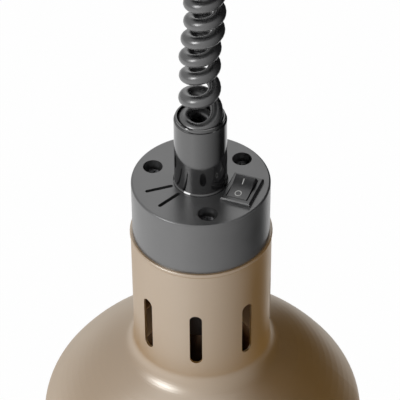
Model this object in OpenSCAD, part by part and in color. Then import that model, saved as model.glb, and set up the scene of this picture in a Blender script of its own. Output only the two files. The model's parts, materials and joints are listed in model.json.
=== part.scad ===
// Heat lamp that hangs from the ceiling on a curly cord: ceiling cover with its cable gland,
// cord, moulded cap with a rocker switch, spun shade with a slotted neck, lamp holder and bulb.
// The origin is on the ceiling, at the middle of the fixing plate, and everything hangs below it.
// The camera of the photograph looks along +Y and down.

/* [Ceiling cover] */
// Diameter of the ceiling cover
cover_d = 100; // [92:1:112]
// Height of the ceiling cover
cover_h = 34; // [32:1:40]
// Wall of the ceiling cover
cover_t = 2; // [1.6:0.1:2.6]
// Radius of the cover's lower corner
cover_corner_r = 16; // [10:1:18]
// Height of the cover's side screws below the ceiling
side_screw_z = 8; // [7:0.5:10]

/* [Ceiling plate] */
// Width of the fixing plate
plate_w = 20; // [18:1:26]
// Thickness of the fixing plate
plate_t = 2; // [1.5:0.1:2.5]
// Distance between the two ceiling screws
fix_spacing = 60; // [56:1:68]
// Width of each ceiling screw slot
fix_slot_w = 4.5; // [4:0.1:5.5]
// Length of each ceiling screw slot, end to end
fix_slot_l = 10; // [8:0.5:14]
// Height of the bent tabs that the cover screws into
tab_h = 13; // [12:0.5:16]

/* [Terminal block] */
// Length of the terminal block
block_l = 30; // [27:1:34]
// Width of the terminal block
block_w = 17; // [15:1:19]
// Height of the terminal block
block_h = 12; // [10:0.5:13]
// Distance between two poles of the terminal block
pole_pitch = 9; // [8:0.5:10]

/* [Cable gland] */
// Thread diameter of the gland
gland_d = 16; // [15:0.5:18]
// Width across the flats of the gland's hexagons
gland_flats = 22; // [21:0.5:25]
// Height of the gland's middle hexagon
gland_hex_h = 4; // [3:0.5:6]
// Height of the gland's dome nut
gland_nut_h = 9; // [8:0.5:12]
// Height of the gland's locknut
locknut_h = 4; // [3:0.5:5]
// Diameter of the dome nut's flared mouth
mouth_d = 9.4; // [9:0.1:10]
// Depth of the flared mouth
mouth_h = 3; // [2.5:0.1:3.5]

/* [Curly cord] */
// Diameter of the cord
cord_d = 6.2; // [5.8:0.1:6.6]
// Outer diameter of the coil
coil_d = 19.8; // [19:0.1:20.6]
// Outer diameter of the last curl, which lies in the sleeve's mouth
last_curl_d = 21.8; // [21:0.1:22]
// Distance from the gland's mouth down to the cap
cord_drop = 135; // [125:1:150]
// Curls above the sleeve
curls = 7.4; // [6.4:0.5:8.4]
// Extra stretch where the cord climbs out of the sleeve
low_stretch = 8; // [6:0.1:9]
// Extra stretch of the next curl
next_stretch = 3.8; // [2:0.1:5]
// Depth of the last curl's middle below the sleeve's rim
last_curl_drop = 2.8; // [2.4:0.1:4]
// Depth over which the cord leaves its last curl
dive = 22; // [20:0.5:23]
// Sideways bow of the coil
coil_bow = 2.4; // [0:0.1:3]

/* [Sleeve] */
// Height of the sleeve above the cap
sleeve_h = 40; // [36:1:48]
// Diameter of the sleeve's thin rim
sleeve_rim_d = 24.2; // [24:0.1:24.8]
// Height of the sleeve's rim
sleeve_rim_h = 1.5; // [1:0.1:3]
// Diameter of the sleeve at its shoulder, just below its rim
sleeve_top_d = 25.5; // [25.2:0.1:25.8]
// Diameter of the sleeve above its foot
sleeve_base_d = 25.8; // [25.2:0.1:26.4]
// Diameter of the sleeve's foot
sleeve_foot_d = 26.8; // [26.4:0.1:27.6]
// Height of the sleeve's foot
sleeve_foot_h = 0.8; // [0.6:0.1:2]
// Height of the sleeve's solid base above the cap
sleeve_floor = 12; // [8:0.5:15]
// Diameter of the threaded shank below the sleeve
shank_d = 18; // [16:0.5:19]
// Height of the nut on the shank
sleeve_nut_h = 4; // [3:0.5:5]
// Width across the flats of the nut on the shank
sleeve_nut_flats = 24; // [22:0.5:25]

/* [Cord clamp] */
// Length of the cord clamp across its screws
clamp_l = 22; // [20:0.5:24]
// Width of the cord clamp, both halves and the gap between them
clamp_w = 12; // [10:0.5:13]
// Height of the cord clamp
clamp_h = 8; // [7:0.5:9]
// Gap between the two halves of the clamp
clamp_gap = 0.6; // [0.4:0.1:1]

/* [Cap] */
// Diameter of the cap
cap_d = 68; // [67:0.5:69]
// Height of the cap
cap_h = 31; // [30:0.5:34]
// Side wall of the cap
cap_t = 2.6; // [2:0.1:3]
// Thickness of the cap's top
cap_top_t = 3; // [2.5:0.1:3.5]
// Radius of the cap's top edge
cap_edge_r = 1; // [0.6:0.1:1.4]
// Radius of the circle that the cap's screws lie on
screw_circle_r = 25.4; // [25:0.1:25.8]
// Direction of the first screw well, seen from above
screw_angle = 37; // [34:1:40]
// Diameter of each screw well
well_d = 9.7; // [9:0.1:10]
// Depth of each screw well
well_h = 6.9; // [6:0.1:9]
// Wall round each screw well
well_t = 1.4; // [1.2:0.1:1.6]
// Width of the two vent slits
vent_w = 1.9; // [1.5:0.1:2.2]
// Distance from the middle of the cap to a slit's inner end
vent_in_r = 14.2; // [14:0.1:15]
// Distance from the middle of the cap to a slit's outer end
vent_out_r = 28.2; // [26:0.1:28.6]
// Direction of the middle between the two slits
vent_angle = 211; // [209:1:213]
// Angle between the two slits
vent_step = 26; // [20:1:30]

/* [Rocker switch] */
// Length of the switch's bezel
bezel_l = 20.6; // [20.2:0.1:22]
// Width of the switch's bezel
bezel_w = 15; // [14.6:0.1:15.6]
// Height of the switch's bezel
bezel_h = 2; // [1.6:0.1:2.2]
// Width of the bezel's sloping edge
bezel_bevel = 0.6; // [0.3:0.1:0.8]
// Length of the switch's body
switch_l = 19.2; // [19.1:0.1:19.6]
// Width of the switch's body
switch_w = 13; // [12.8:0.1:13.4]
// Depth of the switch's body below the cap's face
switch_depth = 15; // [14:0.5:16]
// Width of the rocker at its pivot
rocker_w = 10.4; // [10:0.1:10.6]
// Width of the rocker's face
rocker_face_w = 9.8; // [9.2:0.1:10]
// Radius of the rocker's curved ends, about its pivot
rocker_r = 8.4; // [8.2:0.1:8.7]
// Depth of the rocker's pivot below the bezel's face
pivot_depth = 3.1; // [2.8:0.1:3.4]
// Diameter of the rocker's pivot
pivot_d = 2.4; // [2:0.1:2.8]
// Angle that the rocker tips to each side of its middle
rocker_tip = 15; // [10:1:16]
// Hollow of the rocker's face
rocker_dish = 1; // [0.6:0.1:1.4]
// Distance from the middle of the cap to the middle of the switch
switch_r = 21.8; // [21.6:0.1:22.2]
// Direction of the switch, seen from above
switch_angle = -24.3; // [-26:0.1:-22]
// Turn of the switch away from that direction
switch_turn = 3; // [0:0.5:4]
// Length of a switch tab
tab_l = 7; // [6:0.5:8]

/* [Shade] */
// Diameter of the shade's skirt
shade_d = 168.5; // [166:0.5:180]
// Wall of the shade
shade_t = 1.2; // [1:0.1:1.6]
// Diameter of the shade's neck
neck_d = 70; // [69.6:0.2:71]
// Length of the neck, down to its fillet
neck_l = 70; // [66:1:74]
// Diameter of the bead round the neck's top
neck_bead_d = 2.4; // [2:0.1:2.8]
// Radius of the fillet between neck and shoulder
neck_fillet_r = 12; // [8:1:14]
// Slope of the shoulder next to the neck
shoulder_slope = 30.6; // [29:0.2:32]
// Radius of the shoulder's long curve
shoulder_r = 104; // [96:1:106]
// Radius of the shade's corner
corner_r = 24; // [20:1:26]
// Part of the shade's turn that the corner takes
corner_turn = 33; // [30:1:36]
// Length of the straight skirt
skirt_l = 85; // [80:1:95]
// Diameter of the rolled bead round the rim
rim_bead_d = 3.2; // [2.6:0.1:4]
// Diameter of the opening in the neck's top
neck_hole_d = 40; // [39:0.5:41]

/* [Neck slots] */
// Number of slots round the neck
slot_count = 8; // [6:1:10]
// Width of each slot
slot_w = 6.2; // [5:0.1:7]
// Length of each slot
slot_l = 32.5; // [28:0.5:34]
// Distance from the neck's top to the slots
slot_drop = 28; // [26:0.5:32]
// Turn of the first slot away from the front
slot_turn = -5; // [-8:0.5:8]

/* [Lamp holder] */
// Thickness of the holder's carrier plate
carrier_t = 1.5; // [1.2:0.1:2]
// Gap between the carrier plate and the neck's wall
carrier_gap = 1.5; // [0.8:0.1:2]
// Diameter of the wire hole in the carrier plate
wire_hole_d = 18; // [17:0.5:19]
// Diameter of the lamp holder
holder_d = 40; // [39:0.5:41]
// Height of the lamp holder
holder_h = 54; // [53:0.5:56]
// Depth of the terminal pocket in the holder's top
pocket_h = 8; // [7.5:0.5:9]
// Height of the holder above its screw chamber
holder_head_h = 18; // [17.5:0.5:20]
// Radius of the circle that the holder's two screws lie on
holder_screw_r = 15.2; // [15:0.1:15.4]
// Wall of the holder's screw shell
screw_shell_t = 0.7; // [0.5:0.1:0.8]
// Height of the centre contact
contact_h = 2; // [1.5:0.1:2.5]

/* [Bulb] */
// Diameter of the bulb's screw cap
bulb_cap_d = 26.1; // [26:0.05:26.2]
// Length of the bulb's screw cap
bulb_cap_l = 28; // [28:0.5:30]
// Height of the bulb's insulator and contact
bulb_tip_h = 6; // [5.5:0.1:7]
// Diameter of the bulb
bulb_d = 125; // [120:1:128]
// Length of the bulb's glass
bulb_glass_l = 145; // [138:1:148]
// Diameter of the bulb's neck
bulb_neck_d = 38; // [36:1:42]
// Height of the bulb's curved front
bulb_front_h = 18; // [14:1:22]
// Radius of the rounding between the bulb's side and front
bulb_edge_r = 11; // [8:1:13]
// Wall of the bulb's glass
glass_t = 1.2; // [1:0.1:1.5]

/* [Fasteners] */
// Diameter of the cap's long screws
cap_screw_d = 4; // [3.5:0.1:4.2]
// Diameter of the small screws
small_screw_d = 3; // [2.8:0.1:3.2]
// Radial room round a screw in a plain hole
screw_room = 0.15; // [0.1:0.01:0.25]
// Radial room between parts that fit together
fit_room = 0.05; // [0.03:0.01:0.08]
// Room between parts that move past each other
move_room = 0.3; // [0.25:0.01:0.4]

/* [Hidden] */
$fn = 64;

cut = 1;
core_d = 2;
core_r = 1.3;
lead_steps = 9;
arc_steps = 10;

// Radii and small sizes that follow from the driving dimensions
cover_r = cover_d / 2;
cord_r = cord_d / 2;
cap_r = cap_d / 2;
neck_r = neck_d / 2;
shade_r = shade_d / 2;
gland_r = gland_d / 2;
bezel_face = bezel_h;

// Heights in the ceiling fitting, measured from the ceiling
tab_x = sqrt(pow(cover_r - cover_t, 2) - pow(plate_w / 2, 2)) - move_room;
gland_top = -cover_h;
nut_top = gland_top - gland_hex_h;
mouth_z = nut_top - gland_nut_h;
swing_z = mouth_z + mouth_h;
block_bottom = -plate_t - block_h;
tail_top = block_bottom - 9;
spigot_h = gland_nut_h - mouth_h - 1;

// The lamp head is drawn from the top face of the cap, at this height
cap_z = mouth_z - cord_drop;

// Heights in the lamp head, measured from the top face of the cap
flange_z = -cap_h;
carrier_z = flange_z - shade_t;
holder_z = carrier_z - carrier_t;
chamber_z = holder_z - holder_head_h;
holder_bottom = holder_z - holder_h;
shank_bottom = -cap_top_t - sleeve_nut_h - 1;
clamp_bottom = shank_bottom - clamp_h;
cord_end_z = clamp_bottom - 2;
contact_z = chamber_z - contact_h;
bulb_top = contact_z - move_room;
bulb_cap_z = bulb_top - bulb_tip_h;
glass_top = bulb_cap_z - bulb_cap_l;
bulb_bottom = glass_top - bulb_glass_l;
screw_shell_r = bulb_cap_d / 2 + move_room;
chamber_r = screw_shell_r + screw_shell_t + fit_room;
sleeve_bore_r = last_curl_d / 2 + move_room;
well_wall_r = well_d / 2 + well_t;
cap_inner_r = cap_r - cap_t;

// Screw heads
head_h = 0.6 * cap_screw_d;
head_r = 0.875 * cap_screw_d;
small_head_h = 0.6 * small_screw_d;
small_head_r = 0.9 * small_screw_d;
nut_h = 0.8 * cap_screw_d;
nut_flats = 1.75 * cap_screw_d;

function hex_r(flats) = flats / sqrt(3);
function polar(r, a) = [r * cos(a), r * sin(a)];
function clamp01(x) = max(0, min(1, x));
function ease(x) = let (c = clamp01(x)) c * c * (3 - 2 * c);
function unit(v) = v / norm(v);

// Points along an arc about c, from angle a0 to angle a1
function arc(c, r, a0, a1) = [
    for (i = [0:arc_steps]) c + polar(r, a0 + (a1 - a0) * i / arc_steps)
];

function tail(list) = [for (i = [1:len(list) - 1]) list[i]];

// Points of a curve from p0 to p1 that leaves along d0 and arrives against d1
function lead_path(p0, d0, p1, d1) = [
    for (i = [0:lead_steps])
        let (t = i / lead_steps, s = 1 - t)
            s * s * s * p0 + 3 * s * s * t * (p0 + d0) + 3 * s * t * t * (p1 + d1) + t * t * t * p1
];

// Directions of that curve at the same points
function lead_along(p0, d0, p1, d1) = [
    for (i = [0:lead_steps])
        let (t = i / lead_steps, s = 1 - t)
            unit(s * s * d0 + 2 * s * t * (p1 + d1 - p0 - d0) - t * t * d1)
];

// Directions along any list of points
function headings(points) =
    let (last = len(points) - 1)
        [for (i = [0:last]) unit(points[min(i + 1, last)] - points[max(i - 1, 0)])];

// A closed tube round a list of points, with a direction and a reference for each ring
module tube(points, along, refs, r, sides) {
    n = len(points);
    rings = [
        for (i = [0:n - 1])
            let (
                side = unit(refs[i] - (refs[i] * along[i]) * along[i]),
                up = cross(along[i], side)
            )
                for (k = [0:sides - 1])
                    points[i] + r * (cos(360 * k / sides) * side + sin(360 * k / sides) * up)
    ];
    skin = [
        for (i = [0:n - 2])
            for (k = [0:sides - 1])
                let (
                    a = i * sides + k,
                    b = i * sides + (k + 1) % sides,
                    c = a + sides,
                    d = b + sides
                )
                    each [[a, c, b], [b, c, d]]
    ];
    start_cap = [for (k = [1:sides - 2]) [0, k, k + 1]];
    last = (n - 1) * sides;
    end_cap = [for (k = [1:sides - 2]) [last, last + k + 1, last + k]];
    polyhedron(points = rings, faces = concat(start_cap, skin, end_cap));
}

module lead(p0, d0, p1, d1) {
    path = lead_path(p0, d0, p1, d1);
    tube(path, lead_along(p0, d0, p1, d1), [for (p = path) [0.31, 0.95, 0.05]], core_d / 2, 8);
}

// A flat shape with round ends, centred, as long as l and as wide as w
module stadium(l, w) {
    square([l - w, w], center = true);
    for (side = [-1, 1]) translate([side * (l - w) / 2, 0]) circle(d = w);
}

module ring(z0, z1, r_in, r_out) {
    translate([0, 0, min(z0, z1)]) difference() {
        cylinder(r = r_out, h = abs(z1 - z0));
        translate([0, 0, -cut]) cylinder(r = r_in, h = abs(z1 - z0) + 2 * cut);
    }
}

module hex_ring(z0, z1, r_in, flats) {
    translate([0, 0, min(z0, z1)]) difference() {
        cylinder(r = hex_r(flats), h = abs(z1 - z0), $fn = 6);
        translate([0, 0, -cut]) cylinder(r = r_in, h = abs(z1 - z0) + 2 * cut);
    }
}

// A screw that points down, with the underside of its head at z = 0
module pan_screw(d, l, h_r, h_h) {
    difference() {
        union() {
            translate([0, 0, -l]) cylinder(d = d, h = l + 0.2 * h_h);
            cylinder(r = h_r, h = h_h);
        }
        translate([0, 0, 0.7 * h_h]) for (a = [0, 90])
            rotate(a) translate([-0.6 * h_r, -0.12 * h_r, 0]) cube([1.2 * h_r, 0.24 * h_r, h_h]);
    }
}

module at_screws() {
    for (i = [0:2]) rotate(screw_angle + 120 * i) translate([screw_circle_r, 0, 0]) children();
}

module in_head() {
    translate([0, 0, cap_z]) children();
}

// Ceiling fitting

module ceiling_plate() {
    color("silver") difference() {
        union() {
            translate([-tab_x, -plate_w / 2, -plate_t]) cube([2 * tab_x, plate_w, plate_t]);
            for (side = [-1, 1])
                translate([side * (tab_x - plate_t / 2), 0, -tab_h / 2])
                    cube([plate_t, plate_w, tab_h], center = true);
        }
        translate([0, 0, -plate_t - cut]) linear_extrude(plate_t + 2 * cut)
            for (side = [-1, 1]) translate([side * fix_spacing / 2, 0]) stadium(fix_slot_l, fix_slot_w);
        for (side = [-1, 1]) translate([side * tab_x, 0, -side_screw_z]) rotate([0, 90, 0])
            cylinder(d = small_screw_d + 2 * fit_room, h = 3 * plate_t, center = true);
    }
}

module ceiling_cover() {
    corner = [cover_r - cover_corner_r, -cover_h + cover_corner_r];
    outline = concat(
        [[cover_r, 0]],
        arc(corner, cover_corner_r, 0, -90),
        [[gland_r + screw_room, -cover_h], [gland_r + screw_room, -cover_h + cover_t]],
        arc(corner, cover_corner_r - cover_t, -90, 0),
        [[cover_r - cover_t, 0]]
    );
    color("dimgray") difference() {
        rotate_extrude() polygon(outline);
        for (side = [-1, 1]) translate([side * cover_r, 0, -side_screw_z]) rotate([0, 90, 0])
            cylinder(d = small_screw_d + 2 * screw_room, h = 4 * cover_t, center = true);
    }
}

module cover_screws() {
    color("silver") for (turn = [0, 180]) rotate(turn)
        translate([cover_r, 0, -side_screw_z]) rotate([0, 90, 0])
            pan_screw(small_screw_d, cover_r - tab_x + plate_t + 1, small_head_r, small_head_h);
}

module pole_places() {
    for (side = [-1, 1], pole = [-1, 0, 1])
        translate([pole * pole_pitch, side * block_w / 4, block_bottom]) children();
}

module terminal_block() {
    color("ivory") difference() {
        translate([-block_l / 2, -block_w / 2, block_bottom]) cube([block_l, block_w, block_h]);
        pole_places() translate([0, 0, -cut]) cylinder(d = small_screw_d + 2 * screw_room, h = 4 + cut);
        for (pole = [-0.5, 0.5]) translate([pole * pole_pitch, 0, block_bottom - cut])
            translate([-0.6, -block_w / 2 - cut, 0]) cube([1.2, block_w + 2 * cut, 2 + cut]);
    }
}

module terminal_screws() {
    color("goldenrod") pole_places() translate([0, 0, 1.5]) cylinder(d = small_screw_d, h = 2.5);
}

module gland_body() {
    color("dimgray") difference() {
        union() {
            translate([0, 0, nut_top]) cylinder(r = hex_r(gland_flats), h = gland_hex_h, $fn = 6);
            translate([0, 0, gland_top]) cylinder(r = gland_r, h = cover_t + locknut_h + 1);
            translate([0, 0, nut_top - spigot_h]) cylinder(r = gland_r, h = spigot_h);
        }
        translate([0, 0, nut_top - spigot_h - cut])
            cylinder(r = cord_r + 1.2, h = gland_hex_h + cover_h);
        translate([0, 0, nut_top - spigot_h - cut]) cylinder(r = gland_r - 1.8, h = spigot_h + cut);
    }
}

module gland_locknut() {
    base = gland_top + cover_t;
    color("dimgray") hex_ring(base, base + locknut_h, gland_r + fit_room, gland_flats);
}

module gland_nut() {
    dome = gland_nut_h - spigot_h;
    color("dimgray") difference() {
        union() {
            translate([0, 0, nut_top - spigot_h]) cylinder(r = hex_r(gland_flats), h = spigot_h, $fn = 6);
            translate([0, 0, mouth_z])
                cylinder(r1 = mouth_d / 2 + 1.6, r2 = gland_flats / 2, h = dome);
        }
        translate([0, 0, swing_z + 1]) cylinder(r = gland_r + fit_room, h = gland_nut_h);
        translate([0, 0, mouth_z - cut]) cylinder(r = cord_r + move_room, h = gland_nut_h);
        translate([0, 0, mouth_z]) cylinder(r1 = mouth_d / 2, r2 = cord_r + move_room, h = mouth_h);
    }
}

module gland_seal() {
    color("black") ring(swing_z + 1, nut_top, cord_r + fit_room, gland_r - 1.8 - fit_room);
}

module cord_tail() {
    color("#2c2c2e") translate([0, 0, swing_z + 1]) cylinder(r = cord_r, h = tail_top - swing_z - 1);
}

module ceiling_leads() {
    for (pole = [-1, 0, 1]) {
        start = concat(polar(core_r, 90 - 120 * pole), tail_top);
        end = [pole * pole_pitch, block_w / 4, block_bottom + 1.5];
        color(["saddlebrown", "limegreen", "royalblue"][pole + 1])
            lead(start, [0, 0, 3], end, [0, 0, -4]);
    }
}

// Curly cord

curl_r = (coil_d - cord_d) / 2;
last_curl_r = (last_curl_d - cord_d) / 2;
spiral = 0.75;
lead_in = 0.35;
dive_turns = 1;
close_turns = 0.6;
curl_start = -lead_in - dive_turns;
last_curl_z = sleeve_h - last_curl_drop;
climb = 8;
swing_h = swing_z - cap_z;
coil_top = swing_h - cord_d - 1.5;
flat_turns = 0.2;
curl_pitch = (coil_top - climb - low_stretch - next_stretch - last_curl_z) / (curls - flat_turns);
rings_per_curl = 8;
cord_sides = 6;

// The coil runs over s, in turns counted from the front of the last curl
function above(s) = (s - flat_turns + sqrt(pow(s - flat_turns, 2) + 0.04)) / 2;
function coil_rise(s) = curl_pitch * above(s) + low_stretch * ease((s + 0.05) / 0.6)
    + next_stretch * ease(s - 1);
function coil_dip(s) = dive * pow(clamp01((-lead_in - s) / dive_turns), 1.2);
function coil_lift(s) = climb * pow(clamp01((s - curls + spiral) / spiral), 1.5);
function coil_z(s) = last_curl_z + coil_rise(s) - coil_dip(s) + coil_lift(s);
function coil_radius(s) = ease((s - curl_start) / close_turns) * ease((curls - s) / spiral)
    * (curl_r + (last_curl_r - curl_r) * (1 - ease((s - 0.1) / 1.2)));
function coil_side(s) = coil_bow * ease((s - 2.85) / 2) * ease((curls - s) / 1.3);
function coil_point(s) = [
    coil_side(s) + coil_radius(s) * sin(360 * s),
    -coil_radius(s) * cos(360 * s),
    coil_z(s)
];
function coil_ref(s) = [sin(360 * s), -cos(360 * s), 0];

coil_steps = round((curls - curl_start) * rings_per_curl);
function coil_s(i, steps) = curl_start + (curls - curl_start) * i / steps;
low_ends = [cord_end_z, shank_bottom, sleeve_floor];
top_ends = [swing_h - cord_d, swing_h];
cord_points = concat(
    [for (z = low_ends) [0, 0, z]],
    [for (i = [0:coil_steps]) coil_point(coil_s(i, coil_steps))],
    [for (z = top_ends) [0, 0, z]]
);
cord_refs = concat(
    [for (z = low_ends) coil_ref(curl_start)],
    [for (i = [0:coil_steps]) coil_ref(coil_s(i, coil_steps))],
    [for (z = top_ends) coil_ref(curls)]
);

// Least gap of the coil to itself, on 16 points a curl
gap_steps = 2 * coil_steps;
gap_points = [for (i = [0:gap_steps]) coil_point(coil_s(i, gap_steps))];
least_gap = min([
    for (i = [0:gap_steps - 8])
        for (j = [i + 8:min(i + 40, gap_steps)])
            norm(gap_points[i] - gap_points[j]) - cord_d
]);
cord_length = [
    for (i = 0, l = 0; i < len(cord_points); i = i + 1,
        l = i < len(cord_points) ? l + norm(cord_points[i] - cord_points[i - 1]) : l) l
];
echo(least_gap = least_gap, cord_length = cord_length[len(cord_points) - 1]);

module curly_cord() {
    color("#2c2c2e") in_head() tube(cord_points, headings(cord_points), cord_refs, cord_r, cord_sides);
}

// Sleeve and cord clamp

module cord_sleeve() {
    rim = sleeve_rim_d / 2;
    shoulder = sleeve_h - sleeve_rim_h;
    outline = [
        [sleeve_bore_r, sleeve_h],
        [rim - 0.3, sleeve_h],
        [rim, sleeve_h - 0.3],
        [rim, shoulder],
        [sleeve_top_d / 2 - 0.25, shoulder - 0.15],
        [sleeve_top_d / 2, shoulder - 0.6],
        [sleeve_base_d / 2, sleeve_foot_h + 0.6],
        [sleeve_foot_d / 2, sleeve_foot_h],
        [sleeve_foot_d / 2, 0],
        [shank_d / 2, 0],
        [shank_d / 2, shank_bottom],
        [cord_r + move_room, shank_bottom],
        [cord_r + move_room, sleeve_floor],
        [sleeve_bore_r, sleeve_floor]
    ];
    color("#1c1c1e") in_head() rotate_extrude() polygon(outline);
}

module sleeve_nut() {
    color("#333335") in_head()
        hex_ring(-cap_top_t, -cap_top_t - sleeve_nut_h, shank_d / 2 + fit_room, sleeve_nut_flats);
}

clamp_screw_y = clamp_l / 2 - small_head_r - 0.4;

module clamp_halves() {
    color("ivory") in_head() difference() {
        translate([-clamp_w / 2, -clamp_l / 2, clamp_bottom]) cube([clamp_w, clamp_l, clamp_h]);
        translate([-clamp_gap / 2, -clamp_l, clamp_bottom - cut])
            cube([clamp_gap, 2 * clamp_l, clamp_h + 2 * cut]);
        translate([0, 0, clamp_bottom - cut]) cylinder(r = cord_r + 0.1, h = clamp_h + 2 * cut);
        for (side = [-1, 1])
            translate([0, side * clamp_screw_y, clamp_bottom + clamp_h / 2]) rotate([0, 90, 0])
                cylinder(d = small_screw_d + 2 * fit_room, h = 2 * clamp_w, center = true);
    }
}

module clamp_screws() {
    color("silver") in_head() for (side = [-1, 1])
        translate([clamp_w / 2, side * clamp_screw_y, clamp_bottom + clamp_h / 2]) rotate([0, 90, 0])
            pan_screw(small_screw_d, clamp_w, small_head_r, small_head_h);
}

// Cap

module cap_shell() {
    edge = [cap_r - cap_edge_r, -cap_edge_r];
    outline = concat(
        [[shank_d / 2 + fit_room, 0]],
        arc(edge, cap_edge_r, 90, 0),
        [
            [cap_r, -cap_h],
            [cap_inner_r, -cap_h],
            [cap_inner_r, -cap_top_t],
            [shank_d / 2 + fit_room, -cap_top_t]
        ]
    );
    rotate_extrude() polygon(outline);
}

module at_switch() {
    rotate(switch_angle) translate([switch_r, 0, 0]) rotate(switch_turn) children();
}

module cap() {
    color("#77787a") in_head() difference() {
        union() {
            cap_shell();
            intersection() {
                at_screws() translate([0, 0, -cap_h]) cylinder(r = well_wall_r, h = cap_h - cap_top_t / 2);
                translate([0, 0, -cap_h]) cylinder(r = cap_r - cap_t / 2, h = cap_h);
            }
        }
        at_screws() {
            translate([0, 0, -well_h]) cylinder(d = well_d, h = well_h + cut);
            translate([0, 0, -cap_h - cut]) cylinder(d = cap_screw_d + 2 * screw_room, h = cap_h);
        }
        for (side = [-1, 1]) rotate(vent_angle + side * vent_step / 2)
            translate([(vent_in_r + vent_out_r) / 2, 0, -cap_top_t - cut])
                linear_extrude(cap_top_t + 2 * cut) stadium(vent_out_r - vent_in_r, vent_w);
        at_switch() translate([-switch_w / 2 - 0.1, -switch_l / 2 - 0.1, -cap_top_t - cut])
            cube([switch_w + 0.2, switch_l + 0.2, cap_top_t + 2 * cut]);
    }
}

module cap_screws() {
    color("silver") in_head() at_screws() translate([0, 0, -well_h])
        pan_screw(cap_screw_d, cap_h - well_h + shade_t + carrier_t + nut_h + 1, head_r, head_h);
}

module cap_nuts() {
    color("silver") in_head() at_screws()
        hex_ring(holder_z, holder_z - nut_h, cap_screw_d / 2 + fit_room, nut_flats);
}

// Rocker switch, drawn with its length along Y and its width along X

rocker_room = 0.15;
side_room = 0.3;
pivot_z = bezel_face - pivot_depth;
press_rise = 0.3;
end_angle = asin((pivot_depth + press_rise) / rocker_r) + rocker_tip;
end_y = rocker_r * cos(end_angle);
end_z = rocker_r * sin(end_angle);
dish_r = (end_y * end_y + rocker_dish * rocker_dish) / (2 * rocker_dish);
pivot_l = switch_w - 0.2;

module across(w) {
    translate([-w / 2, 0, pivot_z]) rotate([90, 0, 90]) linear_extrude(w) children();
}

module switch_case() {
    color("#1d1e20") in_head() at_switch() difference() {
        union() {
            translate([-switch_w / 2, -switch_l / 2, -switch_depth])
                cube([switch_w, switch_l, switch_depth + bezel_h / 2]);
            bezel_block();
        }
        across(rocker_w + 2 * side_room) circle(r = rocker_r + rocker_room);
        across(switch_w + cut) circle(d = pivot_d + 2 * fit_room);
    }
}

// The bezel, a flat block whose four upper edges slope
module bezel_block() {
    intersection() {
        translate([-bezel_w / 2, -bezel_l / 2, 0]) cube([bezel_w, bezel_l, bezel_h]);
        translate([-bezel_w, 0, 0]) rotate([90, 0, 90]) linear_extrude(2 * bezel_w)
            bezel_section(bezel_l);
        translate([0, bezel_l, 0]) rotate([90, 0, 0]) linear_extrude(2 * bezel_l)
            bezel_section(bezel_w);
    }
}

module bezel_section(w) {
    polygon([
        [-w / 2, -cut], [w / 2, -cut], [w / 2, bezel_h - bezel_bevel],
        [w / 2 - bezel_bevel, bezel_h], [-w / 2 + bezel_bevel, bezel_h],
        [-w / 2, bezel_h - bezel_bevel]
    ]);
}

module switch_tabs() {
    color("goldenrod") in_head() at_switch() for (side = [-1, 1])
        translate([-2.4, side * 4.5 - 0.4, -switch_depth - tab_l]) cube([4.8, 0.8, tab_l]);
}

module rocker_section() {
    keel = 3;
    intersection() {
        circle(r = rocker_r);
        difference() {
            polygon([
                [-rocker_r, 1.2], [0, -keel], [rocker_r, 1.2],
                [rocker_r, rocker_r], [-rocker_r, rocker_r]
            ]);
            translate([0, end_z - rocker_dish + dish_r]) circle(r = dish_r, $fn = 128);
            translate([-rocker_r, end_z]) square([2 * rocker_r, rocker_r]);
        }
    }
}

// The rocker seen along its length, with sides that draw in toward its face
module rocker_front() {
    polygon([
        [-rocker_w / 2, -rocker_r], [rocker_w / 2, -rocker_r], [rocker_w / 2, 0],
        [rocker_face_w / 2, end_z], [-rocker_face_w / 2, end_z], [-rocker_w / 2, 0]
    ]);
}

module rocker() {
    color("#1d1e20") in_head() at_switch()
        translate([0, 0, pivot_z]) rotate([rocker_tip, 0, 0]) translate([0, 0, -pivot_z]) {
            intersection() {
                across(rocker_w) rocker_section();
                translate([0, rocker_r, pivot_z]) rotate([90, 0, 0]) linear_extrude(2 * rocker_r)
                    rocker_front();
            }
            across(pivot_l) circle(d = pivot_d);
        }
}

// Shade

// Side of the shade from the neck's top to the rim, t inside its outer face
function shade_side(t) =
    let (
        top = flange_z - neck_l,
        fillet_c = [neck_r + neck_fillet_r, top],
        slope_n = 90 - shoulder_slope,
        corner_c = [shade_r - corner_r, shade_corner_z],
        long_c = corner_c - polar(shoulder_r - corner_r, corner_turn)
    )
        concat(
            arc(fillet_c, neck_fillet_r + t, 180, 270 - shoulder_slope),
            arc(long_c, shoulder_r - t, slope_n, corner_turn),
            tail(arc(corner_c, corner_r - t, corner_turn, 0))
        );

// Height of the corner's centre, from the run of the fillet, the straight slope and the two curves
slope_x = shade_r - neck_r - neck_fillet_r * (1 - sin(shoulder_slope))
    - shoulder_r * (cos(corner_turn) - sin(shoulder_slope)) - corner_r * (1 - cos(corner_turn));
shade_corner_z = flange_z - neck_l - neck_fillet_r * cos(shoulder_slope)
    - slope_x * tan(shoulder_slope)
    - shoulder_r * (cos(shoulder_slope) - sin(corner_turn)) - corner_r * sin(corner_turn);
rim_z = shade_corner_z - skirt_l;

module shade_section() {
    inner = shade_side(shade_t);
    polygon(concat(
        [[neck_hole_d / 2, flange_z], [neck_r, flange_z]],
        shade_side(0),
        [[shade_r, rim_z], [shade_r - shade_t, rim_z]],
        [for (i = [len(inner) - 1:-1:0]) inner[i]],
        [[neck_r - shade_t, flange_z - shade_t], [neck_hole_d / 2, flange_z - shade_t]]
    ));
}

// Reach of a slot's cut to each side of the neck's wall
slot_reach = slot_w;

module bead(r, z, d) {
    translate([0, 0, z]) rotate_extrude() translate([r, 0]) circle(d = d);
}

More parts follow.
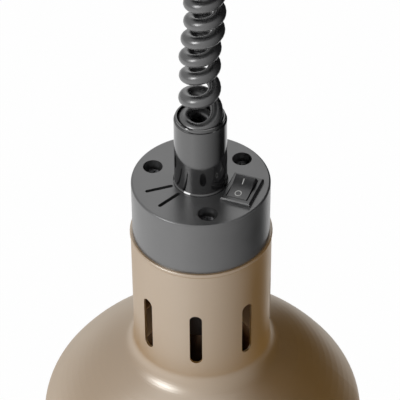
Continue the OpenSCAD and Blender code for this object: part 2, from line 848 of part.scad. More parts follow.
module shade() {
    color("#b3a48d") in_head() difference() {
        union() {
            rotate_extrude() shade_section();
            bead(neck_r - 0.8, flange_z - neck_bead_d / 2 - 0.2, neck_bead_d);
            bead(shade_r - shade_t / 2, rim_z, rim_bead_d);
        }
        at_screws() translate([0, 0, flange_z - shade_t - cut])
            cylinder(d = cap_screw_d + 2 * screw_room, h = shade_t + 2 * cut);
        for (i = [0:slot_count - 1]) rotate(slot_turn - 90 + 360 * i / slot_count)
            translate([neck_r - slot_reach, 0, flange_z - slot_drop - slot_l / 2]) rotate([0, 90, 0])
                linear_extrude(2 * slot_reach) stadium(slot_l, slot_w);
    }
}

// Lamp holder

module at_holder_screws() {
    for (side = [-1, 1]) translate([side * holder_screw_r, 0, 0]) children();
}

earth_y = 15.5;
earth_tag_t = 0.8;
holder_screw_bore = holder_head_h / 2;

module carrier_plate() {
    color("lightgray") in_head() difference() {
        ring(carrier_z, holder_z, wire_hole_d / 2, neck_r - shade_t - carrier_gap);
        at_screws() translate([0, 0, holder_z - cut])
            cylinder(d = cap_screw_d + 2 * screw_room, h = carrier_t + 2 * cut);
        at_holder_screws() translate([0, 0, holder_z - cut])
            cylinder(d = cap_screw_d + 2 * screw_room, h = carrier_t + 2 * cut);
        translate([0, earth_y, holder_z - cut])
            cylinder(d = cap_screw_d + 2 * fit_room, h = carrier_t + 2 * cut);
    }
}

module lamp_holder() {
    holder_r = holder_d / 2;
    color("#3a2a22") in_head() difference() {
        rotate_extrude() polygon(concat(
            [[0, holder_z], [holder_r, holder_z], [holder_r, holder_bottom + 2]],
            arc([holder_r - 2, holder_bottom + 2], 2, 0, -90),
            [[chamber_r, holder_bottom], [chamber_r, chamber_z], [0, chamber_z]]
        ));
        translate([0, 0, holder_z - pocket_h]) cylinder(d = wire_hole_d, h = pocket_h + cut);
        at_holder_screws() translate([0, 0, holder_z - holder_screw_bore])
            cylinder(d = cap_screw_d + 2 * fit_room, h = holder_screw_bore + cut);
    }
}

module holder_screws() {
    color("silver") in_head() at_holder_screws() translate([0, 0, carrier_z])
        pan_screw(cap_screw_d, carrier_t + holder_screw_bore - 1, head_r, head_h);
}

module holder_terminals() {
    color("goldenrod") in_head() for (side = [-1, 1])
        translate([side * 4.2 - 2.5, -3.5, holder_z - pocket_h]) cube([5, 7, 6]);
}

module screw_shell() {
    floor_t = 0.6;
    color("goldenrod") in_head() rotate_extrude() polygon([
        [6.5, chamber_z], [chamber_r - fit_room, chamber_z],
        [chamber_r - fit_room, holder_bottom + 2], [screw_shell_r, holder_bottom + 2],
        [screw_shell_r, chamber_z - floor_t], [6.5, chamber_z - floor_t]
    ]);
}

module centre_contact() {
    color("goldenrod") in_head() translate([0, 0, contact_z]) cylinder(r = 5, h = contact_h);
}

module earth_tag() {
    barrel_y = wire_hole_d / 2 - 2;
    tag_top = carrier_z + earth_tag_t;
    color("goldenrod") in_head() difference() {
        union() {
            translate([0, earth_y, carrier_z]) cylinder(r = head_r + 0.5, h = earth_tag_t);
            translate([-1.5, barrel_y, carrier_z]) cube([3, earth_y - barrel_y, earth_tag_t]);
            translate([0, barrel_y, carrier_z + core_d / 2 + 0.4]) rotate([-90, 0, 0])
                cylinder(d = core_d + 0.8, h = 4);
        }
        translate([0, earth_y, carrier_z - cut])
            cylinder(d = cap_screw_d + 2 * screw_room, h = tag_top - carrier_z + 2 * cut);
    }
}

module earth_screw() {
    color("silver") in_head() translate([0, earth_y, carrier_z + earth_tag_t])
        pan_screw(cap_screw_d, earth_tag_t + carrier_t - 0.1, head_r, head_h);
}

// Wires in the cap: live in, live to the holder, neutral and earth
module inner_leads() {
    tab_end = -switch_depth - tab_l;
    on_tab = concat(switch_spot(4.5), tab_end);
    off_tab = concat(switch_spot(-4.5), tab_end);
    terminal_top = holder_z - pocket_h + 6;
    in_head() {
        color("saddlebrown")
            lead(concat(polar(core_r, -30), cord_end_z), [0, 0, -11], on_tab, [0, 0, -8]);
        color("saddlebrown") lead(off_tab, [0, 0, -9], [4.2, 0, terminal_top], [0, 0, 7]);
        color("royalblue")
            lead(concat(polar(core_r, 210), cord_end_z), [0, 0, -5], [-4.2, 0, terminal_top], [0, 0, 5]);
        color("limegreen")
            lead(
                concat(polar(core_r, 90), cord_end_z), [0, 0, -9],
                [0, wire_hole_d / 2 - 2, carrier_z + core_d / 2 + 0.4], [0, -4, 0]
            );
    }
}

// A place on the switch's long middle line, y away from its centre
function switch_spot(y) = polar(switch_r, switch_angle) + polar(y, switch_angle + switch_turn + 90);

// Bulb

bulb_shoulder_z = bulb_bottom + bulb_front_h;
stem_r = 5;
stem_l = 0.18 * bulb_glass_l;

// Side of the glass from its neck to the middle of its front, t inside its outer face
function glass_side(t) =
    let (
        z0 = glass_top - 12,
        r0 = bulb_neck_d / 2,
        r1 = bulb_d / 2,
        edge_c = [r1 - bulb_edge_r, bulb_shoulder_z],
        front_w = r1 - 0.75 * bulb_edge_r,
        steps = 14
    )
        concat(
            [[bulb_cap_d / 2 - t, glass_top], [bulb_cap_d / 2 + 1 - t, glass_top - 2]],
            [
                for (i = [0:steps])
                    let (q = i / steps)
                        [r0 + (r1 - r0) * (1 - pow(1 - q, 1.7)) - t, z0 + (bulb_shoulder_z - z0) * q]
            ],
            [for (i = [1:5]) edge_c + polar(bulb_edge_r - t, -12 * i)],
            [
                for (i = [1:8])
                    let (q = i / 8)
                        [
                            (edge_c[0] + (bulb_edge_r - t) * 0.5) * (1 - q),
                            bulb_bottom + t
                                + (bulb_front_h - (bulb_edge_r - t) * sin(60) - t) * pow(1 - q, 2)
                        ]
            ]
        );

module bulb_glass() {
    inner = glass_side(glass_t);
    color("firebrick") in_head() rotate_extrude()
        polygon(concat(
            [[stem_r + fit_room, glass_top]],
            glass_side(0),
            [for (i = [len(inner) - 1:-1:1]) inner[i]],
            [[stem_r + fit_room, inner[1][1]]]
        ));
}

module bulb_cap() {
    r = bulb_cap_d / 2;
    color("silver") in_head() rotate_extrude() polygon([
        [6, bulb_cap_z], [10, bulb_cap_z], [r, bulb_cap_z - 2.5], [r, glass_top],
        [r - 1.2, glass_top], [r - 1.2, bulb_cap_z - 3.2], [9.6, bulb_cap_z - 1], [6, bulb_cap_z - 1]
    ]);
}

module bulb_tip() {
    color("#333335") in_head() {
        translate([0, 0, bulb_cap_z]) cylinder(r1 = 9.5, r2 = 5, h = bulb_tip_h - 1);
        translate([0, 0, bulb_top - 1]) cylinder(r = 4.7, h = 1);
    }
}

// Glass stem, support wires and the filament between them
module bulb_filament() {
    stem_z = glass_top - stem_l;
    wire_d = 1;
    wire_x = 3;
    ring_r = 0.54 * stem_l;
    drop = 1.3 * stem_l;
    wire_l = norm([ring_r - wire_x, drop]);
    color("lightgray") in_head() {
        translate([0, 0, stem_z]) cylinder(r = stem_r, h = 1.4 * stem_l);
        for (side = [-1, 1])
            translate([side * wire_x, 0, stem_z + 1]) rotate([0, side * -atan((ring_r - wire_x) / drop), 0])
                translate([0, 0, -wire_l]) cylinder(d = wire_d, h = wire_l);
        translate([0, 0, stem_z - drop + 1]) rotate_extrude(angle = 300, start = -150)
            translate([ring_r, 0]) circle(d = 1.6);
    }
}

ceiling_plate();
ceiling_cover();
cover_screws();
terminal_block();
terminal_screws();
gland_body();
gland_locknut();
gland_nut();
gland_seal();
cord_tail();
ceiling_leads();
curly_cord();
cord_sleeve();
sleeve_nut();
clamp_halves();
clamp_screws();
cap();
cap_screws();
cap_nuts();
switch_case();
switch_tabs();
rocker();
shade();
carrier_plate();
lamp_holder();
holder_screws();
holder_terminals();
screw_shell();
centre_contact();
earth_tag();
earth_screw();
inner_leads();
bulb_glass();
bulb_cap();
bulb_tip();
bulb_filament();
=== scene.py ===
"""Looks of the heat lamp: its smooth curly cord, finishes and switch marks, in a plain pale studio."""
import json
import math

import bmesh
import bpy
from mathutils import Matrix, Vector


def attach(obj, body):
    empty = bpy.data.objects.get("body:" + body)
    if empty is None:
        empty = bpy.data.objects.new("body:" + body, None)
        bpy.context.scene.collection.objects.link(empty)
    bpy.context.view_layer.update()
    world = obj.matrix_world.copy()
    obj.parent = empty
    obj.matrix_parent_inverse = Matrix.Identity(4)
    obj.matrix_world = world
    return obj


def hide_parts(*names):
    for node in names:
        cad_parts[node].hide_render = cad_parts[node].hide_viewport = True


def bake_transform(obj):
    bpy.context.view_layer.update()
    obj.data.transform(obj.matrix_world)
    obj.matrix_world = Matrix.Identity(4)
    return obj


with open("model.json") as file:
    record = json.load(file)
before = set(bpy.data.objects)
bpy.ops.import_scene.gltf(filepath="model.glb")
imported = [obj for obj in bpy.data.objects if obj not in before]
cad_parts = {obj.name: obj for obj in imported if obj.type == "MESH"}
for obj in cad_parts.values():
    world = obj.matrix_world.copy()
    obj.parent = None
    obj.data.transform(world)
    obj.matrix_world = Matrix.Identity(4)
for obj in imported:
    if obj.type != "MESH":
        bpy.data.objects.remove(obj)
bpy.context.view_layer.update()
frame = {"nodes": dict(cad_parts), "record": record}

MM = 0.001
HEAD_Z = -182 * MM  # the cap's top face
MIRROR_Z = -396 * MM  # the lower end of the bulb's mirror


def clamp01(x):
    return min(max(x, 0.0), 1.0)


def ease(x):
    """Smooth step from 0 to 1."""
    c = clamp01(x)
    return c * c * (3 - 2 * c)


# Camera, fitted to the photograph's ellipses

CAMERA_ELEVATION = math.radians(41.268)
CAMERA_ROLL = math.radians(-0.439)
CAMERA_DISTANCE = 1030 * MM
CAMERA_TARGET = Vector((0, 0, HEAD_Z - 13.27 * MM))
PHOTO_SIZE = 400
PHOTO_FOCAL = 2105.3
PHOTO_CENTRE_X = 200.927


def make_camera():
    """The camera of the photograph: high in front, a long lens and a very small roll."""
    data = bpy.data.cameras.new("camera")
    camera = bpy.data.objects.new("camera", data)
    bpy.context.scene.collection.objects.link(camera)
    data.sensor_width = 36
    data.lens = PHOTO_FOCAL * data.sensor_width / PHOTO_SIZE
    data.shift_x = (PHOTO_SIZE / 2 - PHOTO_CENTRE_X) / PHOTO_SIZE
    back = Vector((0, -math.cos(CAMERA_ELEVATION), math.sin(CAMERA_ELEVATION)))
    up = Vector((0, math.sin(CAMERA_ELEVATION), math.cos(CAMERA_ELEVATION)))
    right = Vector((1, 0, 0))
    turned_right = right * math.cos(CAMERA_ROLL) + up * math.sin(CAMERA_ROLL)
    turned_up = up * math.cos(CAMERA_ROLL) - right * math.sin(CAMERA_ROLL)
    turn = Matrix((turned_right, turned_up, back)).transposed()
    camera.matrix_world = Matrix.Translation(CAMERA_TARGET + back * CAMERA_DISTANCE) @ turn.to_4x4()
    data.clip_start = 0.05
    data.clip_end = 30
    bpy.context.scene.camera = camera


make_camera()

# Mesh helpers


def link_mesh(name, vertices, faces):
    """A new smooth mesh object at the origin."""
    mesh = bpy.data.meshes.new(name)
    mesh.from_pydata([tuple(v) for v in vertices], [], faces)
    mesh.validate()
    shell = bmesh.new()
    shell.from_mesh(mesh)
    bmesh.ops.recalc_face_normals(shell, faces=shell.faces)
    shell.to_mesh(mesh)
    shell.free()
    for polygon in mesh.polygons:
        polygon.use_smooth = True
    piece = bpy.data.objects.new(name, mesh)
    bpy.context.scene.collection.objects.link(piece)
    return piece


def tube(name, points, sides_of, radius, sides=20):
    """A closed tube along points; sides_of gives a direction across the tube at each point."""
    vertices = []
    count = len(points)
    for i, point in enumerate(points):
        along = (points[min(i + 1, count - 1)] - points[max(i - 1, 0)]).normalized()
        across = sides_of[i] - along * sides_of[i].dot(along)
        across.normalize()
        over = along.cross(across)
        for k in range(sides):
            angle = 2 * math.pi * k / sides
            vertices.append(point + (across * math.cos(angle) + over * math.sin(angle)) * radius)
    faces = [tuple(range(sides))]
    for i in range(count - 1):
        for k in range(sides):
            a = i * sides + k
            b = i * sides + (k + 1) % sides
            faces.append((a, a + sides, b + sides, b))
    faces.append(tuple(reversed(range((count - 1) * sides, count * sides))))
    return link_mesh(name, vertices, faces)


# Curly cord, on the same route as its solid; lengths in mm, heights above the cap's top

CORD_D = 6.2
CURL_R = 6.8
LAST_CURL_R = 7.8
CURLS = 7.4
SPIRAL = 0.75
LEAD_IN = 0.35
DIVE_TURNS = 1
CLOSE_TURNS = 0.6
CURL_START = -LEAD_IN - DIVE_TURNS
LAST_CURL_Z = 37.2
LOW_STRETCH = 8
NEXT_STRETCH = 3.8
FLAT_TURNS = 0.2
DIVE = 22
CLIMB = 8
COIL_BOW = 2.4
COIL_TOP = 130.3
SWING_H = 138
CORD_STRAIGHT = (-18, -8, 0, 6, 12)
RINGS_PER_CURL = 28
PITCH = (COIL_TOP - CLIMB - LOW_STRETCH - NEXT_STRETCH - LAST_CURL_Z) / (CURLS - FLAT_TURNS)


def above_last(s):
    """Turns above the flat last curl, with a soft start."""
    return (s - FLAT_TURNS + math.sqrt((s - FLAT_TURNS) ** 2 + 0.04)) / 2


def coil_z(s):
    rise = PITCH * above_last(s) + LOW_STRETCH * ease((s + 0.05) / 0.6) + NEXT_STRETCH * ease(s - 1)
    dip = DIVE * clamp01((-LEAD_IN - s) / DIVE_TURNS) ** 1.2
    lift = CLIMB * clamp01((s - CURLS + SPIRAL) / SPIRAL) ** 1.5
    return LAST_CURL_Z + rise - dip + lift


def coil_radius(s):
    swell = CURL_R + (LAST_CURL_R - CURL_R) * (1 - ease((s - 0.1) / 1.2))
    return swell * ease((s - CURL_START) / CLOSE_TURNS) * ease((CURLS - s) / SPIRAL)


def coil_point(s):
    bow = COIL_BOW * ease((s - 2.85) / 2) * ease((CURLS - s) / 1.3)
    turn = 2 * math.pi * s
    radius = coil_radius(s)
    return Vector((bow + radius * math.sin(turn), -radius * math.cos(turn), coil_z(s)))


def coil_side(s):
    turn = 2 * math.pi * s
    return Vector((math.sin(turn), -math.cos(turn), 0))


def make_cord():
    """The cord: straight up out of its clamp, through the sleeve, its curls, and into the gland."""
    steps = round((CURLS - CURL_START) * RINGS_PER_CURL)
    turns = [CURL_START + (CURLS - CURL_START) * i / steps for i in range(steps + 1)]
    high = [SWING_H - CORD_D, SWING_H - 2, SWING_H]
    points = [Vector((0, 0, z)) for z in CORD_STRAIGHT]
    points += [coil_point(s) for s in turns]
    points += [Vector((0, 0, z)) for z in high]
    across = [coil_side(turns[0])] * len(CORD_STRAIGHT) + [coil_side(s) for s in turns]
    across += [coil_side(turns[-1])] * len(high)
    path = [p * MM + Vector((0, 0, HEAD_Z)) for p in points]
    cord = tube("curly_cord_skin", path, across, CORD_D / 2 * MM)
    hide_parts("curly_cord")
    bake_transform(cord)
    return cord


cord = make_cord()

# Materials


class Finish:
    """A procedural material: one shader, with noise that drives its colour, roughness and bump."""

    def __init__(self, name, color, roughness, **inputs):
        self.material = bpy.data.materials.new(name)
        self.material.use_nodes = True
        self.tree = self.material.node_tree
        self.shader = self.tree.nodes["Principled BSDF"]
        self.color = (*color, 1)
        self.shader.inputs["Base Color"].default_value = self.color
        self.shader.inputs["Roughness"].default_value = roughness
        for key, value in inputs.items():
            self.shader.inputs[key.replace("_", " ")].default_value = value
        self.place = self.node("ShaderNodeTexCoord").outputs["Object"]
        self.normal = None

    def node(self, kind, **settings):
        made = self.tree.nodes.new(kind)
        for key, value in settings.items():
            setattr(made, key, value)
        return made

    def join(self, output, target):
        self.tree.links.new(output, target)

    def stretched(self, scale):
        """Object coordinates scaled by a number for each axis."""
        mapping = self.node("ShaderNodeMapping")
        mapping.inputs["Scale"].default_value = scale
        self.join(self.place, mapping.inputs["Vector"])
        return mapping.outputs["Vector"]

    def noise(self, scale, detail=3, stretch=None):
        made = self.node("ShaderNodeTexNoise")
        made.inputs["Scale"].default_value = scale
        made.inputs["Detail"].default_value = detail
        self.join(self.stretched(stretch) if stretch else self.place, made.inputs["Vector"])
        return made.outputs["Fac"]

    def spread(self, value, low, high, from_low=0.3, from_high=0.7):
        """value, usually a noise, mapped to the range from low to high."""
        made = self.node("ShaderNodeMapRange")
        made.inputs["From Min"].default_value = from_low
        made.inputs["From Max"].default_value = from_high
        made.inputs["To Min"].default_value = low
        made.inputs["To Max"].default_value = high
        self.join(value, made.inputs["Value"])
        return made.outputs["Result"]

    def vary_roughness(self, value, low, high):
        self.join(self.spread(value, low, high), self.shader.inputs["Roughness"])
        return self

    def mixed_color(self, factor, first, second, target=None):
        """A mix of two colours; first may be the output of another node."""
        mix = self.node("ShaderNodeMix", data_type="RGBA")
        self.join(factor, mix.inputs["Factor"])
        if isinstance(first, tuple):
            mix.inputs["A"].default_value = first
        else:
            self.join(first, mix.inputs["A"])
        mix.inputs["B"].default_value = second
        if target:
            self.join(mix.outputs["Result"], self.shader.inputs[target])
        return mix.outputs["Result"]

    def vary_color(self, value, low, high):
        """Base colour times a share from low to high."""
        dark = (*(c * low for c in self.color[:3]), 1)
        pale = (*(min(c * high, 1) for c in self.color[:3]), 1)
        self.mixed_color(self.spread(value, 0, 1), dark, pale, "Base Color")
        return self

    def bump(self, value, height):
        """A bump of that height, in metres, on top of any earlier one."""
        made = self.node("ShaderNodeBump")
        made.inputs["Strength"].default_value = 1
        made.inputs["Distance"].default_value = height
        self.join(value, made.inputs["Height"])
        if self.normal:
            self.join(self.normal, made.inputs["Normal"])
        self.normal = made.outputs["Normal"]
        self.join(self.normal, self.shader.inputs["Normal"])
        return self


def moulded(name, color, roughness, grain=2600, height=4e-6, **inputs):
    """Moulded plastic: an even fine grain and a slow change of gloss."""
    finish = Finish(name, color, roughness, **inputs)
    finish.vary_color(finish.noise(180, 5), 0.94, 1.06)
    finish.vary_roughness(finish.noise(90, 4), roughness * 0.92, roughness * 1.1)
    finish.bump(finish.noise(grain, 2), height)
    return finish


def metal(name, color, roughness, stretch=(1, 1, 1), grain=3000, height=2e-6, **inputs):
    """Worked metal: streaks along one direction and small tarnish."""
    finish = Finish(name, color, roughness, Metallic=1, **inputs)
    finish.vary_color(finish.noise(240, 6), 0.86, 1.08)
    finish.vary_roughness(finish.noise(140, 5), roughness * 0.75, roughness * 1.35)
    finish.bump(finish.noise(grain, 2, stretch), height)
    return finish


def glossy(name, color, roughness, ior, grain=900, height=1.2e-6, **inputs):
    """Polished plastic with a faint waviness."""
    finish = Finish(name, color, roughness, IOR=ior, **inputs)
    finish.vary_roughness(finish.noise(300, 4), roughness * 0.8, roughness * 1.4)
    finish.bump(finish.noise(grain, 3), height)
    return finish


def shade_paint():
    """Satin champagne outside, a warm brown under a pale sheen with a fine flake; bronze inside."""
    finish = Finish("shade_paint", (0.285, 0.136, 0.014), 0.37, IOR=4.4, Specular_Tint=(1, 0.985, 0.93, 1))
    away = finish.node("ShaderNodeVectorMath", operation="NORMALIZE")
    finish.join(finish.stretched((1, 1, 0)), away.inputs[0])
    facing = finish.node("ShaderNodeVectorMath", operation="DOT_PRODUCT")
    finish.join(away.outputs["Vector"], facing.inputs[0])
    finish.join(finish.node("ShaderNodeTexCoord").outputs["Normal"], facing.inputs[1])
    inside = finish.spread(facing.outputs["Value"], 1, 0, -0.3, -0.1)
    grain = finish.spread(finish.noise(5200, 2), 0, 1)
    flake = finish.mixed_color(grain, (0.266, 0.127, 0.012, 1), (0.304, 0.145, 0.014, 1))
    finish.mixed_color(inside, flake, (0.46, 0.25, 0.07, 1), "Base Color")
    finish.join(finish.spread(inside, 0, 0.7, 0, 1), finish.shader.inputs["Metallic"])
    finish.vary_roughness(finish.noise(60, 4), 0.35, 0.39)
    finish.bump(finish.noise(2200, 3), 3e-6)
    return finish


def bulb_skin():
    """Ruby glass at the bulb's front, and a mirror on its sides and neck, darkened to a bronze brown as
    painted shade for the dim inside of the lamp shade.
    """
    finish = Finish("bulb_skin", (0.5, 0.02, 0.012), 0.04, IOR=1.5)
    split = finish.node("ShaderNodeSeparateXYZ")
    finish.join(finish.place, split.inputs[0])
    mirror = finish.spread(split.outputs["Z"], 0, 1, MIRROR_Z, MIRROR_Z + MM)
    # the mirror's dark bronze brown is painted shade: it keeps the inside of the lamp shade dark where the
    # slots show it
    finish.mixed_color(mirror, finish.color, (0.11, 0.065, 0.04, 1), "Base Color")
    finish.join(mirror, finish.shader.inputs["Metallic"])
    finish.join(finish.spread(mirror, 0.85, 0, 0, 1), finish.shader.inputs["Transmission Weight"])
    dull = finish.node("ShaderNodeMath", operation="ADD")
    finish.join(finish.spread(mirror, 0, 0.3, 0, 1), dull.inputs[0])
    finish.join(finish.spread(finish.noise(60, 3), 0.03, 0.08), dull.inputs[1])
    finish.join(dull.outputs[0], finish.shader.inputs["Roughness"])
    finish.bump(finish.noise(160, 3), 8e-6)
    return finish


MATERIALS = {
    "plate_steel": metal("plate_steel", (0.62, 0.63, 0.64), 0.34, (1, 12, 1)),
    "screw_steel": metal("screw_steel", (0.66, 0.67, 0.68), 0.26),
    "cover_plastic": moulded("cover_plastic", (0.035, 0.035, 0.037), 0.42, IOR=1.6),
    "block_plastic": moulded("block_plastic", (0.72, 0.68, 0.58), 0.45),
    "brass": metal("brass", (0.72, 0.5, 0.2), 0.28),
    "black_plastic": glossy("black_plastic", (0.01, 0.01, 0.0105), 0.08, 2.3),
    "gland_plastic": moulded("gland_plastic", (0.02, 0.02, 0.021), 0.4),
    "seal_rubber": moulded("seal_rubber", (0.012, 0.012, 0.012), 0.7),
    "cord_skin": glossy(
        "cord_skin", (0.018, 0.018, 0.019), 0.27, 2.5, grain=420, height=1.2e-5,
        Sheen_Weight=0.35, Sheen_Roughness=0.2,
    ),
    "lead_skin": moulded("lead_skin", (0.3, 0.14, 0.07), 0.35, grain=900),
    "cap_plastic": moulded("cap_plastic", (0.05, 0.05, 0.051), 0.3, IOR=2.4),
    "switch_plastic": moulded("switch_plastic", (0.018, 0.018, 0.019), 0.3, height=8e-6, IOR=2.0),
    "shade_metal": shade_paint(),
    "holder_plastic": moulded("holder_plastic", (0.035, 0.022, 0.017), 0.5),
    "ruby_glass": bulb_skin(),
    "bulb_metal": metal("bulb_metal", (0.75, 0.75, 0.76), 0.25),
    "filament_metal": metal("filament_metal", (0.55, 0.55, 0.56), 0.3),
}
DARK_SCREW = metal("dark_screw", (0.16, 0.16, 0.165), 0.25)


def dress(piece, finish):
    piece.data.materials.clear()
    piece.data.materials.append(finish.material)


def dress_nodes():
    """Every CAD node gets the finish of its material slot, except the cap screws, which get a darker
    steel.
    """
    slots = {part["node"]: part["material_slot"] for part in frame["record"]["subparts"]}
    for name, piece in frame["nodes"].items():
        dress(piece, DARK_SCREW if name == "cap_screws" else MATERIALS[slots[name]])


dress_nodes()
dress(cord, MATERIALS["cord_skin"])

# Switch marks, which lie on the rocker's hollow face; lengths in mm

SWITCH_R = 21.8
SWITCH_ANGLE = math.radians(-24.3)
SWITCH_TURN = math.radians(3)
BEZEL_H = 2
PIVOT_DEPTH = 3.1
PRESS_RISE = 0.3
ROCKER_R = 8.4
ROCKER_TIP = math.radians(15)
ROCKER_DISH = 1
MARK_LIFT = 0.02
MARK_T = 0.03
MARK_SIDE = -0.3

end_angle = math.asin((PIVOT_DEPTH + PRESS_RISE) / ROCKER_R) + ROCKER_TIP
face_end_y = ROCKER_R * math.cos(end_angle)
face_end_z = ROCKER_R * math.sin(end_angle)
dish_r = (face_end_y**2 + ROCKER_DISH**2) / (2 * ROCKER_DISH)


def on_rocker(x, y):
    """A point of the rocker's face, x across it and y towards its raised end, in the row frame."""
    z = face_end_z - ROCKER_DISH + dish_r - math.sqrt(dish_r**2 - y**2) + MARK_LIFT
    tipped = Matrix.Rotation(ROCKER_TIP, 3, "X") @ Vector((x, y, z))
    place = Matrix.Rotation(SWITCH_ANGLE + SWITCH_TURN, 3, "Z") @ tipped
    out = Vector((math.cos(SWITCH_ANGLE), math.sin(SWITCH_ANGLE), 0)) * SWITCH_R
    pivot = out + Vector((0, 0, BEZEL_H - PIVOT_DEPTH))
    return (place + pivot) * MM + Vector((0, 0, HEAD_Z))


def mark_strip(name, centreline, width, closed):
    """A thin printed line along points of the rocker's face, open or closed."""
    vertices = []
    faces = []
    count = len(centreline)
    for i, (x, y) in enumerate(centreline):
        before = centreline[(i - 1) % count if closed else max(i - 1, 0)]
        after = centreline[(i + 1) % count if closed else min(i + 1, count - 1)]
        along = Vector((after[0] - before[0], after[1] - before[1])).normalized()
        side = Vector((-along.y, along.x)) * width / 2
        vertices += [on_rocker(x + side.x, y + side.y), on_rocker(x - side.x, y - side.y)]
    for i in range(count if closed else count - 1):
        j = (i + 1) % count
        faces.append((2 * i, 2 * j, 2 * j + 1, 2 * i + 1))
    piece = link_mesh(name, vertices, faces)
    thick = piece.modifiers.new("print", "SOLIDIFY")
    thick.thickness = MARK_T * MM
    thick.offset = 0
    dress(piece, PRINT)
    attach(piece, "rocker")


PRINT = moulded("mark_print", (0.74, 0.74, 0.72), 0.5, grain=4000)
RING_R = 1.5
RING_STRETCH = 1.06
RING_STEPS = 40
RING_Y = -3.55
LINE_W = 0.5
BAR_Y = 3.65
BAR_L = 3.1
BAR_STEPS = 8

ring_angles = [2 * math.pi * i / RING_STEPS for i in range(RING_STEPS)]
ring = [
    (MARK_SIDE + RING_R * math.cos(a), RING_Y + RING_STRETCH * RING_R * math.sin(a))
    for a in ring_angles
]
bar = [(MARK_SIDE, BAR_Y - BAR_L / 2 + BAR_L * i / BAR_STEPS) for i in range(BAR_STEPS + 1)]
mark_strip("mark_off", ring, LINE_W, True)
mark_strip("mark_on", bar, LINE_W, False)

# Studio

FLOOR_Z = -0.95
FLOOR_SIZE = 12
FLOOR_GLOW = 0.985
CLOTH_SHADE = 0.005
CLOTH_STEPS = 48
AIM = (0, 0, -0.24)


def path_share(tree):
    """1 for a ray from the camera, a mirror or glass, and 0 for one that lights a surface."""
    light_path = tree.nodes.new("ShaderNodeLightPath")
    first = tree.nodes.new("ShaderNodeMath")
    first.operation = "ADD"
    second = tree.nodes.new("ShaderNodeMath")
    second.operation = "ADD"
    second.use_clamp = True
    tree.links.new(light_path.outputs["Is Camera Ray"], first.inputs[0])
    tree.links.new(light_path.outputs["Is Glossy Ray"], first.inputs[1])
    tree.links.new(first.outputs[0], second.inputs[0])
    tree.links.new(light_path.outputs["Is Transmission Ray"], second.inputs[1])
    return second.outputs[0]


def make_world(fill):
    """White where it is seen, and a weaker even light on the object."""
    world = bpy.data.worlds.new("studio")
    bpy.context.scene.world = world
    world.use_nodes = True
    tree = world.node_tree
    seen = tree.nodes.new("ShaderNodeBackground")
    seen.inputs["Color"].default_value = (1, 1, 1, 1)
    light = tree.nodes["Background"]
    light.inputs["Color"].default_value = (1, 1, 1, 1)
    light.inputs["Strength"].default_value = fill
    mix = tree.nodes.new("ShaderNodeMixShader")
    tree.links.new(path_share(tree), mix.inputs[0])
    tree.links.new(light.outputs[0], mix.inputs[1])
    tree.links.new(seen.outputs[0], mix.inputs[2])
    tree.links.new(mix.outputs[0], tree.nodes["World Output"].inputs[0])


def make_floor():
    """A pale floor well below the lamp, white but for the soft shadow, and clear from beneath."""
    half = FLOOR_SIZE / 2
    corners = [(x, y, FLOOR_Z) for x, y in ((-half, -half), (half, -half), (half, half), (-half, half))]
    floor = link_mesh("floor", corners, [(0, 1, 2, 3)])
    material = bpy.data.materials.new("floor_paper")
    material.use_nodes = True
    tree = material.node_tree
    shader = tree.nodes["Principled BSDF"]
    shader.inputs["Base Color"].default_value = (0.9, 0.9, 0.89, 1)
    shader.inputs["Roughness"].default_value = 0.9
    glow = tree.nodes.new("ShaderNodeEmission")
    share = tree.nodes.new("ShaderNodeMath")
    share.operation = "MULTIPLY"
    share.inputs[1].default_value = FLOOR_GLOW
    mix = tree.nodes.new("ShaderNodeMixShader")
    tree.links.new(path_share(tree), share.inputs[0])
    tree.links.new(share.outputs[0], mix.inputs[0])
    tree.links.new(shader.outputs[0], mix.inputs[1])
    tree.links.new(glow.outputs[0], mix.inputs[2])
    side = tree.nodes.new("ShaderNodeNewGeometry")
    clear = tree.nodes.new("ShaderNodeBsdfTransparent")
    one_sided = tree.nodes.new("ShaderNodeMixShader")
    tree.links.new(side.outputs["Backfacing"], one_sided.inputs[0])
    tree.links.new(mix.outputs[0], one_sided.inputs[1])
    tree.links.new(clear.outputs[0], one_sided.inputs[2])
    tree.links.new(one_sided.outputs[0], tree.nodes["Material Output"].inputs[0])
    floor.data.materials.append(material)


def softbox(name, place, aim, size, radiance, mirrored=True):
    """An area light of that radiance that faces a point."""
    data = bpy.data.lights.new(name, "AREA")
    data.shape = "RECTANGLE"
    data.size, data.size_y = size
    data.energy = radiance * math.pi * size[0] * size[1]
    lamp = bpy.data.objects.new(name, data)
    lamp.location = place
    lamp.rotation_euler = (Vector(aim) - Vector(place)).to_track_quat("-Z", "Y").to_euler()
    lamp.visible_camera = False
    lamp.visible_glossy = mirrored
    bpy.context.scene.collection.objects.link(lamp)


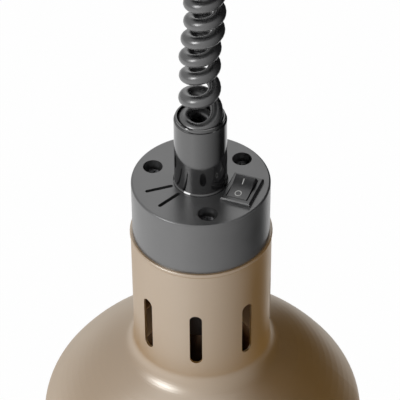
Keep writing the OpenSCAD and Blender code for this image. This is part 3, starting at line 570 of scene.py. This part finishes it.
def scrim(name, radius, opacity, azimuth_fades, height_fades):
    """A curved dark cloth round the lamp that only glossy surfaces mirror.

    The azimuth is counted in degrees from the front, to the right, and heights are in metres.
    The cloth thickens from the first to the second number of a fade."""
    angles = [math.radians(a) for fade in azimuth_fades for a in fade]
    heights = [h for fade in height_fades for h in fade]
    vertices = []
    for i in range(CLOTH_STEPS + 1):
        angle = min(angles) + (max(angles) - min(angles)) * i / CLOTH_STEPS
        for z in (min(heights), max(heights)):
            vertices.append((radius * math.sin(angle), -radius * math.cos(angle), z))
    faces = [(2 * i, 2 * i + 2, 2 * i + 3, 2 * i + 1) for i in range(CLOTH_STEPS)]
    cloth = link_mesh(name, vertices, faces)
    material = bpy.data.materials.new(name + "_cloth")
    material.use_nodes = True
    tree = material.node_tree
    place = tree.nodes.new("ShaderNodeTexCoord")
    split = tree.nodes.new("ShaderNodeSeparateXYZ")
    tree.links.new(place.outputs["Object"], split.inputs[0])
    front = tree.nodes.new("ShaderNodeMath")
    front.operation = "MULTIPLY"
    front.inputs[1].default_value = -1
    tree.links.new(split.outputs["Y"], front.inputs[0])
    around = tree.nodes.new("ShaderNodeMath")
    around.operation = "ARCTAN2"
    tree.links.new(split.outputs["X"], around.inputs[0])
    tree.links.new(front.outputs[0], around.inputs[1])
    cover = None
    places = [(around.outputs[0], math.radians(a), math.radians(b)) for a, b in azimuth_fades]
    places += [(split.outputs["Z"], a, b) for a, b in height_fades]
    for value, clear_at, thick_at in places:
        fade = tree.nodes.new("ShaderNodeMapRange")
        fade.inputs["From Min"].default_value = clear_at
        fade.inputs["From Max"].default_value = thick_at
        tree.links.new(value, fade.inputs["Value"])
        both = tree.nodes.new("ShaderNodeMath")
        both.operation = "MULTIPLY"
        both.inputs[0].default_value = opacity
        if cover:
            tree.links.new(cover, both.inputs[0])
        tree.links.new(fade.outputs["Result"], both.inputs[1])
        cover = both.outputs[0]
    clear = tree.nodes.new("ShaderNodeBsdfTransparent")
    cloth_shade = tree.nodes.new("ShaderNodeEmission")
    cloth_shade.inputs["Strength"].default_value = CLOTH_SHADE
    mix = tree.nodes.new("ShaderNodeMixShader")
    tree.links.new(cover, mix.inputs[0])
    tree.links.new(clear.outputs[0], mix.inputs[1])
    tree.links.new(cloth_shade.outputs[0], mix.inputs[2])
    tree.links.new(mix.outputs[0], tree.nodes["Material Output"].inputs[0])
    cloth.data.materials.append(material)
    cloth.visible_camera = False
    cloth.visible_shadow = False
    cloth.visible_diffuse = False


make_world(0.38)
make_floor()
softbox("key", (-1.12, -0.72, 0.64), AIM, (0.6, 0.6), 5.5)
softbox("right_fill", (1.2, -0.6, -0.4), AIM, (1, 1), 1.6, mirrored=False)
softbox("left_fill", (-1.2, -0.7, -0.3), AIM, (1.2, 1.2), 1.2, mirrored=False)
scrim("low_right_scrim", 0.4, 1, [(-35, 92), (142, 120)], [(-0.949, -0.94), (-0.38, -0.46)])
scrim("right_scrim", 0.4, 1, [(-35, 92), (172, 155)], [(-0.46, -0.38), (0.75, 0.6)])
scrim("left_scrim", 1.5, 0.45, [(-179, -155), (0, -60)], [(-0.6, -0.1), (2.6, 2.4)])

bpy.context.scene.view_settings.view_transform = "Standard"
